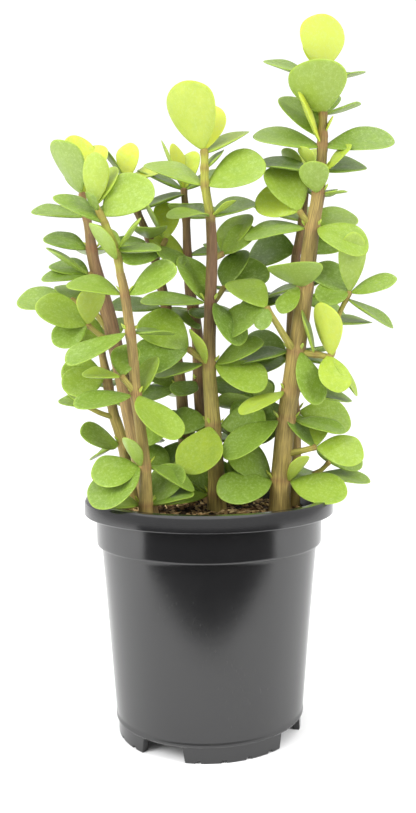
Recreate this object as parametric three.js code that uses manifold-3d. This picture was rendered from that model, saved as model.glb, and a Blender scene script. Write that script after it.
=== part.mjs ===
// Potted elephant bush: eight rooted cuttings of a small-leaved succulent shrub in a round nursery pot.
// Millimetres, +Z up. The plant and the pot are laid out about the pot's axis, with z = 0 at its feet;
// the finished group is then shifted so that the origin is the bottom centre of the whole object's box.

import * as THREE from "three";
import { mergeVertices } from "three/addons/utils/BufferGeometryUtils.js";
import Module from "manifold-3d";

// ---- driving dimensions -------------------------------------------------------------------------

const RIM_RADIUS = 60;        // outside of the rolled lip
const RIM_TOP = 113.4;
const LIP_HEIGHT = 7.4;
const WALL = 1.5;             // moulded plastic wall
const NECK_RADIUS = 54.5;     // straight band under the lip
const NECK_BOTTOM = 95;
const SHOULDER_RADIUS = 52;   // top of the tapering wall
const SHOULDER_HEIGHT = 91.5;
const BASE_RADIUS = 45.7;     // bottom of the tapering wall
const FOOT_HEIGHT = 8;
const FOOT_OUTER = 44.5;
const FOOT_INNER = 41.2;
const FOOT_GAPS = [63, 153, 243, 333];    // headings of the four gaps between the feet, degrees
const FOOT_GAP_WIDTH = 19.5;
const DRAIN_RADIUS = 4;
const DRAIN_CIRCLE = 31;
const POT_SEGMENTS = 40;

const MIX_TOP = 105.5;        // surface of the potting mix
const MIX_CROWN = 1.5;

const GAP = 0.3;              // clearance that touching pieces keep
const TOLERANCE = 0.06;       // finest detail that joins and cuts keep
const COLLAR_HEIGHT = 3;      // ring of stem node that an opposite pair of leaves grows from
const COLLAR_WALL = 1.8;
const TURN = 3;               // the plant is turned by this many degrees about the pot's axis
const LEAN = 0.0085;          // it leans to the left by this much for each millimetre of height
const LEAN_FROM = 38;         // from this height
const SETTLE = 0.985;         // its heights are drawn together by this much
const MIDDLE = 150;           // about this height
const TWIG_SIDES = 7;
const LEAF_AROUND = 8;        // points round a leaf's outline
const LEAF_THICKNESS = 2.6;   // grown leaf, where it is thickest
const THICKEST = 0.35;        // how far along the leaf that is
const LEAF_ROOT = 1;          // how far below its place on the twig a leaf starts
const YOUNG_THINNING = 0.1;   // thinner by this much for each step of youth
const LEAF_CUP = 0.1;         // how far the edges rise, as a part of the leaf's width

// ---- the plant ----------------------------------------------------------------------------------
// A path is a list of points [x, y, z, radius]. +X is to the right and +Y to the back.
// A leaf is [heading, rise, length, width, twist, droop, youth]: heading 0 is +X, 90 the back, 180 -X
// and 270 the front; rise is its angle above level; twist turns its upper face to the front; droop is
// how far the tip bends down; youth runs from 0, old and dark, to 9, newest.
// On a shoot each leaf has one number before these: how many steps along the path it grows at.
// A pair is [height on the stem, leaf, leaf ...]. The first shoot of a stem is its growing tip.

const PLANT = [
  {
    name: "right",
    wood: [[34, -6, 98, 5.2], [35, -6, 121, 5.1], [38, -5, 151, 4.7], [43, -4, 183, 4.5],
      [48, -3, 218, 4.1], [51, -2, 242, 3.8], [54, -2, 258, 3.2], [56, -1, 275, 2.7]],
    shoots: [
      {
        path: [[56, -1, 275.5, 2.6], [56.5, -1, 284, 2.5], [57, 0, 300, 2], [56.5, 0, 316.5, 1.8],
          [56, 0, 321, 1.5]],
        leaves: [[4, 291, 76, 25, 25, 0, -2, 9], [4, 95, 62, 22, 18, 0, -2, 8],
          [3, 180, 17, 29, 19, 25, 0, 4], [3, 22, 15, 23, 17, 15, 0, 3],
          [2, 250, 47, 26, 29, 0, -2, 5], [2, 92, 40, 26, 22, 0, 0, 4], [2, 25, 19, 21, 15, 5, 0, 3],
          [1, 184, 12, 33, 22, 42, 3, 3], [1, 356, 8, 34, 22, 44, 3, 3],
          [1.1, 214, 52, 26, 20, 50, -2, 8], [1.3, 160, 48, 29, 22, 35, 0, 4],
          [1.4, 340, 60, 9, 6, 30, 0, 9]],
      },
      {
        path: [[51, -2, 245, 1.6], [46.5, -4, 249, 1.5], [44.5, -5, 252, 1.2]],
        leaves: [[2, 142, 60, 27, 24, 30, 0, 4], [2, 160, 20, 23, 19, 65, 0, 6]],
      },
      {
        path: [[42, -5, 184, 1.9], [38, -9, 189, 1.8], [33.7, -10, 196, 1.6], [28, -12, 205, 1.3]],
        leaves: [[3, 146, 38, 25, 22, 25, 2, 5], [3, 165, -22, 25, 21, 50, 2, 2],
          [3, 250, -55, 13, 9, 0, 0, 2]],
      },
      {
        path: [[44, -5, 183, 1.8], [53, -8, 182, 1.6], [59.5, -9, 182, 1.5], [62, -8, 198, 1.3],
          [69, -6, 213, 1.1]],
        leaves: [[4, 276, 72, 29, 14, 0, 0, 6], [4, 345, 15, 23, 16, 40, 0, 4],
          [4, 150, 35, 24, 20, 30, 0, 2], [4, 195, -8, 17, 16, 45, 0, 2],
          [3, 40, 5, 22, 16, 15, 0, 3], [3.8, 350, -33, 26, 18, 12, 0, 3],
          [2, 240, 68, 27, 20, 20, 0, 8], [1.9, 0, -56, 24, 17, 17, 0, 5],
          [1.9, 284, -54, 22, 17, 0, 0, 6], [1, 190, 72, 22, 13, 25, 0, 6]],
      },
      {
        path: [[36, -6, 133, 1.8], [47, -10, 136, 1.5], [52, -11, 137.5, 1.2]],
        leaves: [[2, 345, -8, 23, 19, 45, 2, 4], [2, 150, 48, 20, 15, 10, 0, 2],
          [2, 95, 50, 18, 15, 0, 0, 5]],
      },
      {
        path: [[35, -1, 151, 1.5], [31, 4, 154, 1.3], [27, 6, 158, 1.2]],
        leaves: [[2, 255, 55, 15, 12, 0, 0, 4], [2, 168, 0, 24, 18, -30, 0, 1],
          [2, 100, 40, 20, 16, 0, 0, 2]],
      },
    ],
    pairs: [
      [269.5, [172, 14, 28, 20, 26, 2, 2], [20, 17, 22, 20, 32, 2, 2], [335, 40, 17, 12, 45, 0, 7],
        [212, 45, 14, 9, 0, 0, 7]],
      [258.5, [252, 42, 16, 15, 0, -3, 5], [85, 20, 26, 20, 0, 3, 3], [75, 10, 18, 15, 0, 0, 3],
        [335, 0, 12, 8, 10, 0, 5]],
      [242, [320, -10, 25, 24, 32, 12, 4], [190, 3, 29, 21, 30, 8, 3]],
      [214, [248, 17, 25, 27, 0, -1, 4], [67, 25, 26, 20, 0, 3, 2], [135, -5, 25, 18, 20, 2, 2],
        [215, -50, 17, 11, 30, 0, 4]],
      [183, [300, -68, 28, 17, 0, -2, 2], [165, -8, 26, 20, 25, 2, 1], [60, 10, 24, 18, 0, 4, 2]],
      [164, [220, -22, 28, 17, 8, 0, 6], [12, -10, 27, 18, 20, 0, 3]],
      [150, [208, -27, 33, 20, 25, 3, 3], [345, -8, 25, 17, 22, 2, 3], [95, 0, 26, 20, 0, 4, 2],
        [160, 15, 25, 20, 55, 0, 1]],
      [121, [335, -10, 29, 23, 35, 1, 4], [208, -7, 29, 22, 35, 2, 3], [318, 50, 17, 12, 0, 0, 7],
        [50, 5, 26, 20, 10, 2, 2], [152, 22, 25, 20, 40, 0, 2],
        [172, 40, 26, 20, 50, 0, 2]],
    ],
  },
  {
    name: "centre",
    wood: [[4, 2, 98, 4.7], [4, 2, 119, 4.3], [2.5, 1, 150, 3.9], [1, 0, 176.5, 3.4],
      [2, -1, 206.5, 3], [3, -2, 232, 2.7], [2.5, -2, 247, 2.4]],
    shoots: [
      {
        path: [[2.5, -2, 247.5, 2.3], [2.2, -2.2, 250, 2.3], [0, -3, 264.5, 2.1], [0, -3, 278, 1.8],
          [-0.5, -3, 281, 1.5]],
        leaves: [[4, 233, 60, 32, 30, 0, -2, 8], [4, 82, 70, 25, 20, 0, -1, 9],
          [3.6, 22, 30, 25, 18, 20, 0, 5], [2.6, 35, 45, 14, 10, 0, 0, 4],
          [2, 350, 20, 30, 26, 52, 2, 4], [2, 172, 24, 31, 22, 32, 2, 4],
          [1, 222, 10, 21, 20, 20, 8, 4], [1, 35, 22, 26, 20, 20, 0, 3],
          [1, 340, 28, 14, 8, 10, 0, 6]],
      },
      {
        path: [[3, 0, 228, 1.4], [7, 3, 231, 1.3], [9, 4, 232, 1.1]],
        leaves: [[2, 45, 54, 26, 21, 10, 0, 5], [2, 100, 20, 24, 18, 0, 0, 3],
          [1.5, 10, 42, 21, 18, 45, 0, 3]],
      },
      {
        path: [[3, 1, 207, 1.5], [6, 4, 211, 1.4], [9, 7, 216, 1.2]],
        leaves: [[2, 55, 55, 24, 20, 0, 0, 2], [2, 20, 25, 25, 20, 50, 0, 1],
          [2, 85, 5, 25, 19, 0, 2, 2]],
      },
      {
        path: [[1, -1, 178, 1.8], [-4, -4, 181, 1.7], [-9, -8, 185, 1.4]],
        leaves: [[2, 160, 33, 29, 24, 40, 0, 4], [2, 190, -12, 28, 22, 50, 0, 2]],
      },
    ],
    pairs: [
      [206.5, [186, 4, 31, 20, 24, 2, 3], [318, -54, 26, 20, 0, 0, 1], [140, 58, 28, 20, 10, 0, 4]],
      [177, [195, -15, 24, 17, 15, 0, 3], [338, -20, 28, 23, 30, 3, 5], [350, 24, 26, 18, 38, 0, 4],
        [242, 50, 21, 12, 25, 0, 7]],
      [147, [244, -51, 28, 26, 5, 0, 5], [60, -15, 26, 20, 0, 3, 2],
        [350, 12, 23, 18, 60, 0, 2], [150, 5, 24, 19, 50, 0, 1]],
      [113, [195, -1, 27, 18, 22, 2, 4], [150, 15, 18, 16, 35, 0, 3], [35, 24, 25, 20, 40, 0, 1],
        [100, 40, 24, 19, 0, 0, 1],
        [170, 32, 29, 16, -10, 4, 1], [160, 55, 25, 20, 50, 0, 2]],
    ],
  },
  {
    name: "front_left",
    wood: [[-28.5, -28, 98, 3.1], [-28.5, -28, 130, 2.8], [-32, -28, 163.5, 2.5],
      [-33, -28, 181, 2.4], [-36, -28, 208, 2.2], [-38, -28, 218, 2]],
    shoots: [
      {
        path: [[-38.1, -28, 218.5, 1.9], [-40, -28, 230, 1.7], [-45, -28, 242, 1.5],
          [-49, -27, 250, 1.1]],
        leaves: [[3, 266, 82, 23, 12, 0, -3, 7], [3, 96, 80, 23, 12, 0, -3, 8],
          [3, 60, 60, 22, 16, 0, 0, 6], [2.6, 215, 55, 10, 9, 0, 0, 2],
          [2.4, 8, 40, 27, 23, 62, 2, 4], [2, 180, 28, 25, 17, 25, 0, 3],
          [0.6, 228, 38, 20, 19, 15, -3, 4], [1, 335, 46, 18, 13, 35, 0, 5],
          [1, 350, -2, 20, 14, 25, 0, 2], [1, 130, 40, 20, 15, 0, 0, 4]],
      },
      {
        path: [[-32, -28, 164, 1.5], [-35, -30, 168, 1.4], [-38.5, -31, 172.5, 1.2]],
        leaves: [[2, 188, 4, 17, 14, 15, 0, 6], [2, 80, 60, 17, 14, 0, 0, 3]],
      },
    ],
    pairs: [
      [208, [188, 20, 24, 20, 28, 5, 4], [350, 27, 25, 20, 45, 0, 4]],
      [191, [212, -28, 31, 19, 15, 0, 2], [40, 5, 21, 17, 10, 2, 2]],
      [163, [212, -6, 27, 17, 25, 2, 3], [50, 62, 20, 15, 0, 0, 4], [320, -41, 29, 26, 0, 0, 4]],
      [131, [205, -6, 22, 19, 40, 2, 4], [214, -36, 28, 24, 20, 0, 3], [236, 55, 17, 11, 0, 0, 4],
        [20, -30, 24, 17, 20, 0, 2]],
      [113, [172, 8, 19, 16, 20, 2, 3], [10, 20, 20, 16, 10, 2, 2], [62, 22, 22, 18, 0, 2, 1],
        [35, 48, 23, 18, 30, 0, 2]],
    ],
  },
  {
    name: "left",
    wood: [[-26, -12, 98, 3.6], [-35.5, -9, 146, 3.6], [-41.5, -5, 176.5, 3.6],
      [-47, 0, 201, 3.7], [-53.5, 2, 226.5, 2.9], [-55.5, 3, 240, 2.4]],
    shoots: [
      {
        path: [[-55.6, 3, 240.5, 2.3], [-57, 3, 250, 2], [-59, 3, 261, 1.5]],
        leaves: [[2, 226, 55, 27, 28, 10, -1, 3], [2, 60, 66, 28, 20, 0, 0, 8],
          [2, 120, 74, 31, 18, 0, 0, 9], [2, 100, 45, 24, 18, 0, 2, 3],
          [1, 180, 6, 26, 17, 24, 0, 3], [1, 20, 20, 24, 18, 20, 0, 3], [1, 90, 15, 25, 19, 0, 2, 3]],
      },
      {
        path: [[-52, 1, 219, 1.6], [-56.5, -1, 221, 1.4]],
        leaves: [[1, 205, 30, 23, 17, 20, 0, 4], [1, 160, 16, 21, 18, 30, 0, 3],
          [1, 187, -6, 22, 18, 30, 0, 3]],
      },
      {
        path: [[-45, -2, 190, 1.6], [-53, -1, 202, 1.4], [-60, 0, 206.5, 1.3], [-65, 1, 209, 1.1]],
        leaves: [[3, 181, -1, 26, 21, 36, 0, 4], [3, 95, 15, 22, 16, 0, 2, 3],
          [2, 130, 30, 22, 16, 10, 0, 3]],
      },
      {
        path: [[-44, -4, 187, 1.5], [-51, -9, 192, 1.3], [-56, -11, 196.5, 1.1]],
        leaves: [[2, 195, 22, 25, 22, 50, 0, 4], [2, 308, 62, 20, 15, 10, 0, 7],
          [2, 205, -30, 18, 17, 40, 0, 3]],
      },
    ],
    pairs: [
      [232, [175, 16, 22, 18, 30, 0, 2], [15, 15, 24, 18, 20, 2, 2], [100, 10, 25, 19, 0, 4, 3]],
    ],
  },
  {
    name: "low_left",
    wood: [[-36, 13, 98, 3.1], [-42, 13, 135, 3], [-46, 12, 150, 2.8]],
    shoots: [
      {
        path: [[-46.2, 12, 150.5, 2.7], [-48, 12, 160, 2.5], [-50, 11, 173, 2.3], [-52, 10, 185, 1.6]],
        leaves: [[3, 160, 45, 24, 19, 30, 0, 4], [3, 60, 50, 22, 17, 0, 0, 5],
          [2, 208, -18, 22, 20, 45, 0, 4], [2, 30, 10, 24, 18, 20, 2, 2],
          [1.5, 110, 10, 26, 19, 0, 3, 2], [1.8, 185, 15, 22, 20, 60, 0, 3],
          [1, 350, -10, 22, 17, 20, 0, 1]],
      },
      {
        path: [[-45, 12, 150, 1.5], [-53, 9, 153, 1.3], [-60, 7, 157, 1.1]],
        leaves: [[2, 172, 12, 14, 12, 20, 0, 3], [2, 120, 25, 20, 15, 0, 0, 6]],
      },
    ],
    pairs: [
      [137, [225, 20, 22, 21, 40, 2, 2], [150, -20, 19, 16, 20, 2, 3], [60, 5, 26, 20, 0, 4, 2],
        [345, -24, 24, 19, 25, 2, 2], [350, 25, 23, 19, 50, 0, 2]],
    ],
  },
  {
    name: "back_left",
    wood: [[-10, 24, 98, 3.6], [-12, 23, 135, 3.3], [-14, 21, 170, 3], [-20, 19, 205, 2.7],
      [-27, 18, 238, 2.3]],
    shoots: [
      {
        path: [[-27.1, 18, 238.5, 2.2], [-34.5, 18, 256, 1.8], [-39, 17, 271, 1.2]],
        leaves: [[2, 80, 75, 20, 12, 0, 0, 9], [2, 10, 18, 19, 13, 30, 0, 7],
          [2, 190, 50, 20, 14, 0, 0, 7], [1, 15, 22, 26, 18, 15, 0, 3],
          [1, 195, 20, 24, 18, 20, 0, 4], [1, 100, 25, 25, 19, 0, 2, 4],
          [0.2, 275, 10, 22, 18, 0, 2, 2]],
      },
      {
        path: [[-25, 18, 230, 1.5], [-19.5, 15, 241, 1.2]],
        leaves: [[1, 195, 60, 21, 12, 10, 0, 5], [0.6, 225, -22, 24, 20, 25, 0, 2],
          [0.7, 300, -35, 20, 16, 0, 0, 2],
          [1, 95, 62, 23, 14, 0, 0, 7]],
      },
    ],
    pairs: [
      [205, [185, 5, 27, 20, 30, 2, 2], [350, -30, 18, 15, 20, 2, 2], [95, 5, 27, 20, 0, 5, 3]],
      [165, [150, 0, 24, 18, 20, 3, 2], [100, -5, 26, 20, 0, 4, 2], [215, -10, 25, 19, 20, 2, 1],
        [180, 40, 24, 20, 40, 0, 2]],
    ],
  },
  {
    name: "back_centre",
    wood: [[2, 27, 98, 3.8], [-2, 25, 135, 3.5], [-4, 22, 164, 3.3], [-5, 21, 194, 3],
      [-8, 20, 213, 2.8], [-9, 20, 228, 2.5]],
    shoots: [
      {
        path: [[-9, 20, 228.5, 2.4], [-9.3, 20, 234, 2.3], [-9.8, 20, 253, 2], [-10.7, 20, 267, 1.5]],
        leaves: [[3, 168, 25, 26, 18, 15, 0, 2], [3, 10, 25, 24, 18, 20, 0, 3],
          [3, 140, 74, 25, 11, 0, 0, 9], [3, 60, 70, 22, 14, 0, 0, 8],
          [3, 175, 66, 27, 11, 0, 0, 7], [2, 90, 25, 26, 20, 0, 2, 4], [2, 30, 12, 22, 18, 25, 0, 3],
          [2, 275, 12, 22, 18, 0, 2, 3], [1, 195, 22, 20, 17, 45, 0, 7],
          [1, 8, 10, 25, 19, 20, 2, 2]],
      },
    ],
    pairs: [
      [205, [100, 0, 27, 21, 0, 5, 3], [290, -25, 13, 11, 0, 0, 1], [30, 0, 26, 20, 10, 3, 2]],
      [168, [235, -22, 17, 15, 20, 0, 1], [345, -8, 27, 20, 35, 2, 2], [95, -5, 27, 20, 0, 5, 3]],
      [138, [180, 32, 24, 19, 35, 0, 2], [200, -35, 24, 19, 30, 0, 2], [20, 0, 26, 20, 10, 3, 2],
        [90, -10, 26, 20, 0, 4, 2]],
    ],
  },
  {
    name: "back_right",
    wood: [[43, 16, 98, 3], [44.3, 15, 139, 2.9], [43, 15, 166, 2.8], [42.5, 15, 194, 2.7],
      [45, 15, 232, 2.4]],
    shoots: [
      {
        path: [[45.1, 15, 232.5, 2.3], [45.8, 15, 236, 2.2], [48.5, 15, 251, 2], [51, 14, 270, 1.2]],
        leaves: [[3, 70, 60, 22, 16, 0, 0, 7], [3, 200, 50, 20, 15, 0, 0, 5],
          [2, 15, 5, 29, 20, 45, 0, 4], [2, 165, 20, 27, 20, 20, 0, 4], [2, 90, 30, 26, 20, 0, 2, 4],
          [1, 150, 5, 26, 24, 60, 0, 1], [1, 20, 15, 25, 19, 45, 0, 2]],
      },
      {
        path: [[44, 15, 117, 1.5], [55, 11, 122, 1.3], [61, 9, 128, 1.1]],
        leaves: [[2, 20, 5, 18, 18, 45, 0, 3], [1, 352, -8, 27, 18, 15, 0, 3],
          [2, 80, 20, 22, 17, 0, 0, 3]],
      },
    ],
    pairs: [
      [210, [170, -8, 26, 18, 30, 0, 2], [60, 10, 27, 20, 0, 4, 3], [10, -15, 27, 21, 30, 2, 2]],
      [180, [195, -15, 25, 19, 30, 2, 1], [90, 5, 27, 21, 0, 5, 3], [20, -5, 27, 20, 20, 3, 3],
        [160, 30, 24, 20, 40, 0, 2]],
      [153, [8, -14, 28, 22, 55, 0, 5], [175, -5, 27, 20, 40, 0, 1], [85, -5, 27, 20, 0, 4, 3],
        [190, -40, 24, 19, 30, 0, 2]],
    ],
  },
];

// ---- solids -------------------------------------------------------------------------------------

const wasm = await Module();
wasm.setup();

const UP = new THREE.Vector3(0, 1, 0);
const radians = THREE.MathUtils.degToRad;

// A closed three.js geometry as a solid that can be joined and cut.
function solid(geometry) {
  geometry.deleteAttribute("normal");
  geometry.deleteAttribute("uv");
  const merged = mergeVertices(geometry, 1e-4);
  return new wasm.Manifold(new wasm.Mesh({
    numProp: 3,
    vertProperties: new Float32Array(merged.attributes.position.array),
    triVerts: new Uint32Array(merged.index.array),
    tolerance: TOLERANCE,
  }));
}

function toGeometry(body) {
  const mesh = body.getMesh();
  const geometry = new THREE.BufferGeometry();
  geometry.setAttribute("position", new THREE.BufferAttribute(mesh.vertProperties, 3));
  geometry.setIndex(new THREE.BufferAttribute(mesh.triVerts, 1));
  return geometry;
}

// Turns a profile of [radius, height] points round the Z axis.
function turned(profile, segments = POT_SEGMENTS) {
  const points = profile.map(([r, z]) => new THREE.Vector2(r, z));
  return solid(new THREE.LatheGeometry(points, segments).rotateX(Math.PI / 2));
}

function box(width, depth, height, x, y, z, turn = 0) {
  const geometry = new THREE.BoxGeometry(width, depth, height);
  geometry.translate(x, y, z);
  return solid(geometry.rotateZ(radians(turn)));
}

function column(radius, height, x, y, z, sides = 12) {
  const geometry = new THREE.CylinderGeometry(radius, radius, height, sides);
  return solid(geometry.rotateX(Math.PI / 2).translate(x, y, z));
}

// A round stem or twig that follows a path, with its section square to the path at every point.
function twig(path, extra = 0) {
  const steps = path.length - 1;
  const geometry = new THREE.CylinderGeometry(1, 1, steps, TWIG_SIDES, steps);
  const points = path.map(([x, y, z]) => new THREE.Vector3(x, y, z));
  const turns = points.map((_, i) => {
    const ahead = points[Math.min(i + 1, steps)];
    const behind = points[Math.max(i - 1, 0)];
    return new THREE.Quaternion().setFromUnitVectors(UP, ahead.clone().sub(behind).normalize());
  });
  const position = geometry.attributes.position;
  const vertex = new THREE.Vector3();
  for (let i = 0; i < position.count; i += 1) {
    vertex.fromBufferAttribute(position, i);
    const ring = Math.round(vertex.y + steps / 2);
    const overrun = ring === steps ? extra : ring === 0 ? -extra : 0;
    vertex.y = 0;
    vertex.multiplyScalar(path[ring][3] + extra);
    vertex.y = overrun;
    vertex.applyQuaternion(turns[ring]).add(points[ring]);
    position.setXYZ(i, vertex.x, vertex.y, vertex.z);
  }
  return solid(geometry);
}

// Turns and leans a path, with all the plant.
function stand(path) {
  const h = radians(TURN);
  return path.map(([x, y, z, radius]) => [
    x * Math.cos(h) - y * Math.sin(h) - LEAN * (z - LEAN_FROM), x * Math.sin(h) + y * Math.cos(h),
    MIDDLE + (z - MIDDLE) * SETTLE, radius,
  ]);
}

// The point on a path that is a number of steps along it, moved back along the path by a distance.
function pointAtStep(path, step, back) {
  const i = Math.min(Math.floor(step), path.length - 2);
  const [from, to] = [path[i], path[i + 1]];
  const t = step - i - back / Math.hypot(to[0] - from[0], to[1] - from[1], to[2] - from[2]);
  return from.map((value, k) => THREE.MathUtils.lerp(value, to[k], t));
}

function pointAtHeight(path, height) {
  const i = Math.max(0, path.findIndex(([, , z], k) => k > 0 && z >= height) - 1);
  const t = (height - path[i][2]) / (path[i + 1][2] - path[i][2]);
  return path[i].map((value, k) => THREE.MathUtils.lerp(value, path[i + 1][k], t));
}

// The leaf's three directions: along it, across it and out of its upper face.
function leafDirections(heading, rise, twist) {
  const h = radians(heading);
  const e = radians(rise);
  const along = new THREE.Vector3(Math.cos(e) * Math.cos(h), Math.cos(e) * Math.sin(h), Math.sin(e));
  const level = new THREE.Vector3(Math.sin(h), -Math.cos(h), 0);
  const turn = radians(twist) * (level.y > 1e-6 ? -1 : 1);
  const across = level.clone().applyAxisAngle(along, turn);
  const face = across.clone().cross(along);
  return { along, across, face };
}

// A fleshy, nearly round leaf: its outline narrows to the foot, and it is thickest in the middle,
// cupped across and bent along its length. It starts at a point and is grown all round by extra,
// which makes its thin rim a blunt one.
function leaf(start, [heading, rise, length, width, twist, droop, youth], extra = 0) {
  const { along, across, face } = leafDirections(heading, rise, twist);
  const geometry = new THREE.SphereGeometry(1, LEAF_AROUND, extra > 0 ? 3 : 2);
  const position = geometry.attributes.position;
  const half = (LEAF_THICKNESS - YOUNG_THINNING * youth) / 2 + extra;
  for (let i = 0; i < position.count; i += 1) {
    const side = Math.sign(position.getY(i));
    const middle = Math.abs(position.getY(i)) > 0.9;
    const turn = Math.atan2(position.getZ(i), position.getX(i));
    const thickness = side * (middle ? half : extra);
    const s = middle ? 2 * THICKEST - 1 : Math.cos(turn);
    const w = middle ? 0 : Math.sin(turn) * (1 + 0.3 * s) / 1.04;
    const t = (s + 1) / 2;
    const point = start.clone();
    point.addScaledVector(along, t * length + s * extra);
    point.addScaledVector(across, w * (width / 2 + extra));
    point.addScaledVector(face, thickness + w * w * LEAF_CUP * width - t * t * droop);
    position.setXYZ(i, point.x, point.y, point.z);
  }
  return solid(geometry);
}

// Where a leaf starts: a distance out from the middle of the stem, on the side that it heads to.
function leafStart([x, y, z], heading, out) {
  const h = radians(heading);
  return new THREE.Vector3(x + out * Math.cos(h), y + out * Math.sin(h), z);
}

function joined(solids) {
  return solids.reduce((whole, next) => whole.add(next));
}

// ---- pieces -------------------------------------------------------------------------------------
// Each piece has its body, and the space that later pieces keep clear of.

const pieces = [];

function addPiece(name, look, body, keepOut) {
  pieces.push({ name, look, body, keepOut });
}

function makePot() {
  const lipBottom = RIM_TOP - LIP_HEIGHT;
  const neckInside = NECK_RADIUS - WALL;
  const body = turned([
    [0, FOOT_HEIGHT], [FOOT_INNER, FOOT_HEIGHT], [FOOT_INNER, 0], [FOOT_OUTER, 0],
    [FOOT_OUTER, FOOT_HEIGHT - 0.6], [BASE_RADIUS, FOOT_HEIGHT + 0.4],
    [SHOULDER_RADIUS, SHOULDER_HEIGHT], [NECK_RADIUS - 0.4, NECK_BOTTOM], [NECK_RADIUS, lipBottom + 5.4],
    [RIM_RADIUS - WALL, lipBottom + 5.4], [RIM_RADIUS - WALL, lipBottom], [RIM_RADIUS, lipBottom],
    [RIM_RADIUS, RIM_TOP - 1], [RIM_RADIUS - 1, RIM_TOP], [neckInside + 1.6, RIM_TOP],
    [neckInside, RIM_TOP - 2], [neckInside - 0.4, NECK_BOTTOM], [SHOULDER_RADIUS - WALL, SHOULDER_HEIGHT],
    [BASE_RADIUS - WALL, FOOT_HEIGHT + 2.2], [BASE_RADIUS - 2 * WALL, FOOT_HEIGHT + WALL],
    [0, FOOT_HEIGHT + WALL],
  ]);
  const gaps = FOOT_GAPS.map((heading) => box(12, FOOT_GAP_WIDTH, FOOT_HEIGHT * 2,
    FOOT_OUTER, 0, -0.6, heading));
  const drains = FOOT_GAPS.map((heading) => {
    const h = radians(heading);
    return column(DRAIN_RADIUS, 8, DRAIN_CIRCLE * Math.cos(h), DRAIN_CIRCLE * Math.sin(h), FOOT_HEIGHT);
  });
  const keepOut = turned([
    [0, 0], [FOOT_OUTER, 0], [SHOULDER_RADIUS + GAP, SHOULDER_HEIGHT], [NECK_RADIUS + GAP, lipBottom - GAP],
    [RIM_RADIUS + GAP, lipBottom - GAP], [RIM_RADIUS + GAP, RIM_TOP + GAP],
    [neckInside - GAP, RIM_TOP + GAP], [neckInside - GAP, MIX_TOP], [0, MIX_TOP],
  ]);
  const look = { color: 0x1b1c1e, roughness: 0.42 };
  addPiece("nursery_pot", look, body.subtract(joined([...gaps, ...drains])), keepOut);
}

function makeMix() {
  const inside = NECK_RADIUS - WALL - GAP;
  const floor = FOOT_HEIGHT + WALL + GAP;
  const profile = (lift) => [
    [0, floor], [BASE_RADIUS - 2 * WALL - GAP, floor], [BASE_RADIUS - WALL - GAP, floor + 1.5],
    [SHOULDER_RADIUS - WALL - GAP, SHOULDER_HEIGHT], [inside - 0.4, NECK_BOTTOM],
    [inside - 0.2, MIX_TOP - MIX_CROWN + lift], [inside * 0.6, MIX_TOP + lift], [0, MIX_TOP + lift],
  ];
  const look = { color: 0x3a2a1d, roughness: 0.95 };
  addPiece("potting_mix", look, turned(profile(0), 32), turned(profile(GAP), 32));
}

function makeStem({ name, wood }) {
  addPiece(`${name}_stem`, { color: 0x7a6a3a, roughness: 0.75 }, twig(wood), twig(wood, GAP));
}

function makeShoot(name, { path, leaves }) {
  const parts = (extra) => joined([twig(path, extra),
    ...leaves.map(([step, ...shape]) => {
      const point = pointAtStep(path, step, LEAF_ROOT);
      return leaf(leafStart(point, shape[0], 0.3 * point[3]), shape, extra);
    })]);
  addPiece(name, { color: 0x8fb840, roughness: 0.5 }, parts(0), parts(GAP));
}

function makePair(name, wood, [height, ...leaves]) {
  const root = pointAtHeight(wood, height);
  const parts = (extra) => joined([
    column(root[3] + COLLAR_WALL + extra, COLLAR_HEIGHT + 2 * extra, root[0], root[1], height, TWIG_SIDES),
    ...leaves.map((shape) => leaf(leafStart(root, shape[0], root[3] + GAP), shape, extra))]);
  addPiece(name, { color: 0x7aa83a, roughness: 0.5 }, parts(0), parts(GAP));
}

for (const cutting of PLANT) {
  cutting.wood = stand(cutting.wood);
  cutting.shoots.forEach((shoot) => {
    shoot.path = stand(shoot.path);
  });
}
PLANT.forEach(makeStem);
makeMix();
makePot();
for (const { name, shoots } of PLANT) {
  shoots.forEach((shoot, i) => makeShoot(i === 0 ? `${name}_tip` : `${name}_shoot_${i}`, shoot));
}
for (const { name, wood, pairs } of PLANT) {
  pairs.forEach((pair, i) => makePair(`${name}_leaves_${i + 1}`, wood, pair));
}

// Every piece is cut clear of the pieces before it, and only its main body is kept.
function boxesMeet(a, b) {
  return a.min.every((low, k) => low <= b.max[k]) && b.min.every((low, k) => low <= a.max[k]);
}

function trimmed(piece, before) {
  let body = piece.body;
  for (const other of before) {
    if (boxesMeet(body.boundingBox(), other.keepOut.boundingBox())) {
      body = body.subtract(other.keepOut);
    }
  }
  return body.decompose().sort((a, b) => b.volume() - a.volume())[0];
}

const root = new THREE.Group();
pieces.forEach((piece, i) => {
  const mesh = new THREE.Mesh(toGeometry(trimmed(piece, pieces.slice(0, i))),
    new THREE.MeshStandardMaterial({ metalness: 0, ...piece.look }));
  mesh.name = piece.name;
  root.add(mesh);
});

// The origin is the bottom centre of the whole object's box.
const bounds = new THREE.Box3().setFromObject(root);
const middle = bounds.getCenter(new THREE.Vector3());
root.position.set(-middle.x, -middle.y, -bounds.min.z);

export default root;
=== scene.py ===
"""Potted elephant bush: eight rooted cuttings of a fleshy-leaved shrub in a black nursery pot."""

import math
import random

import bmesh
import bpy
from mathutils import Matrix, Vector, noise


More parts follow.
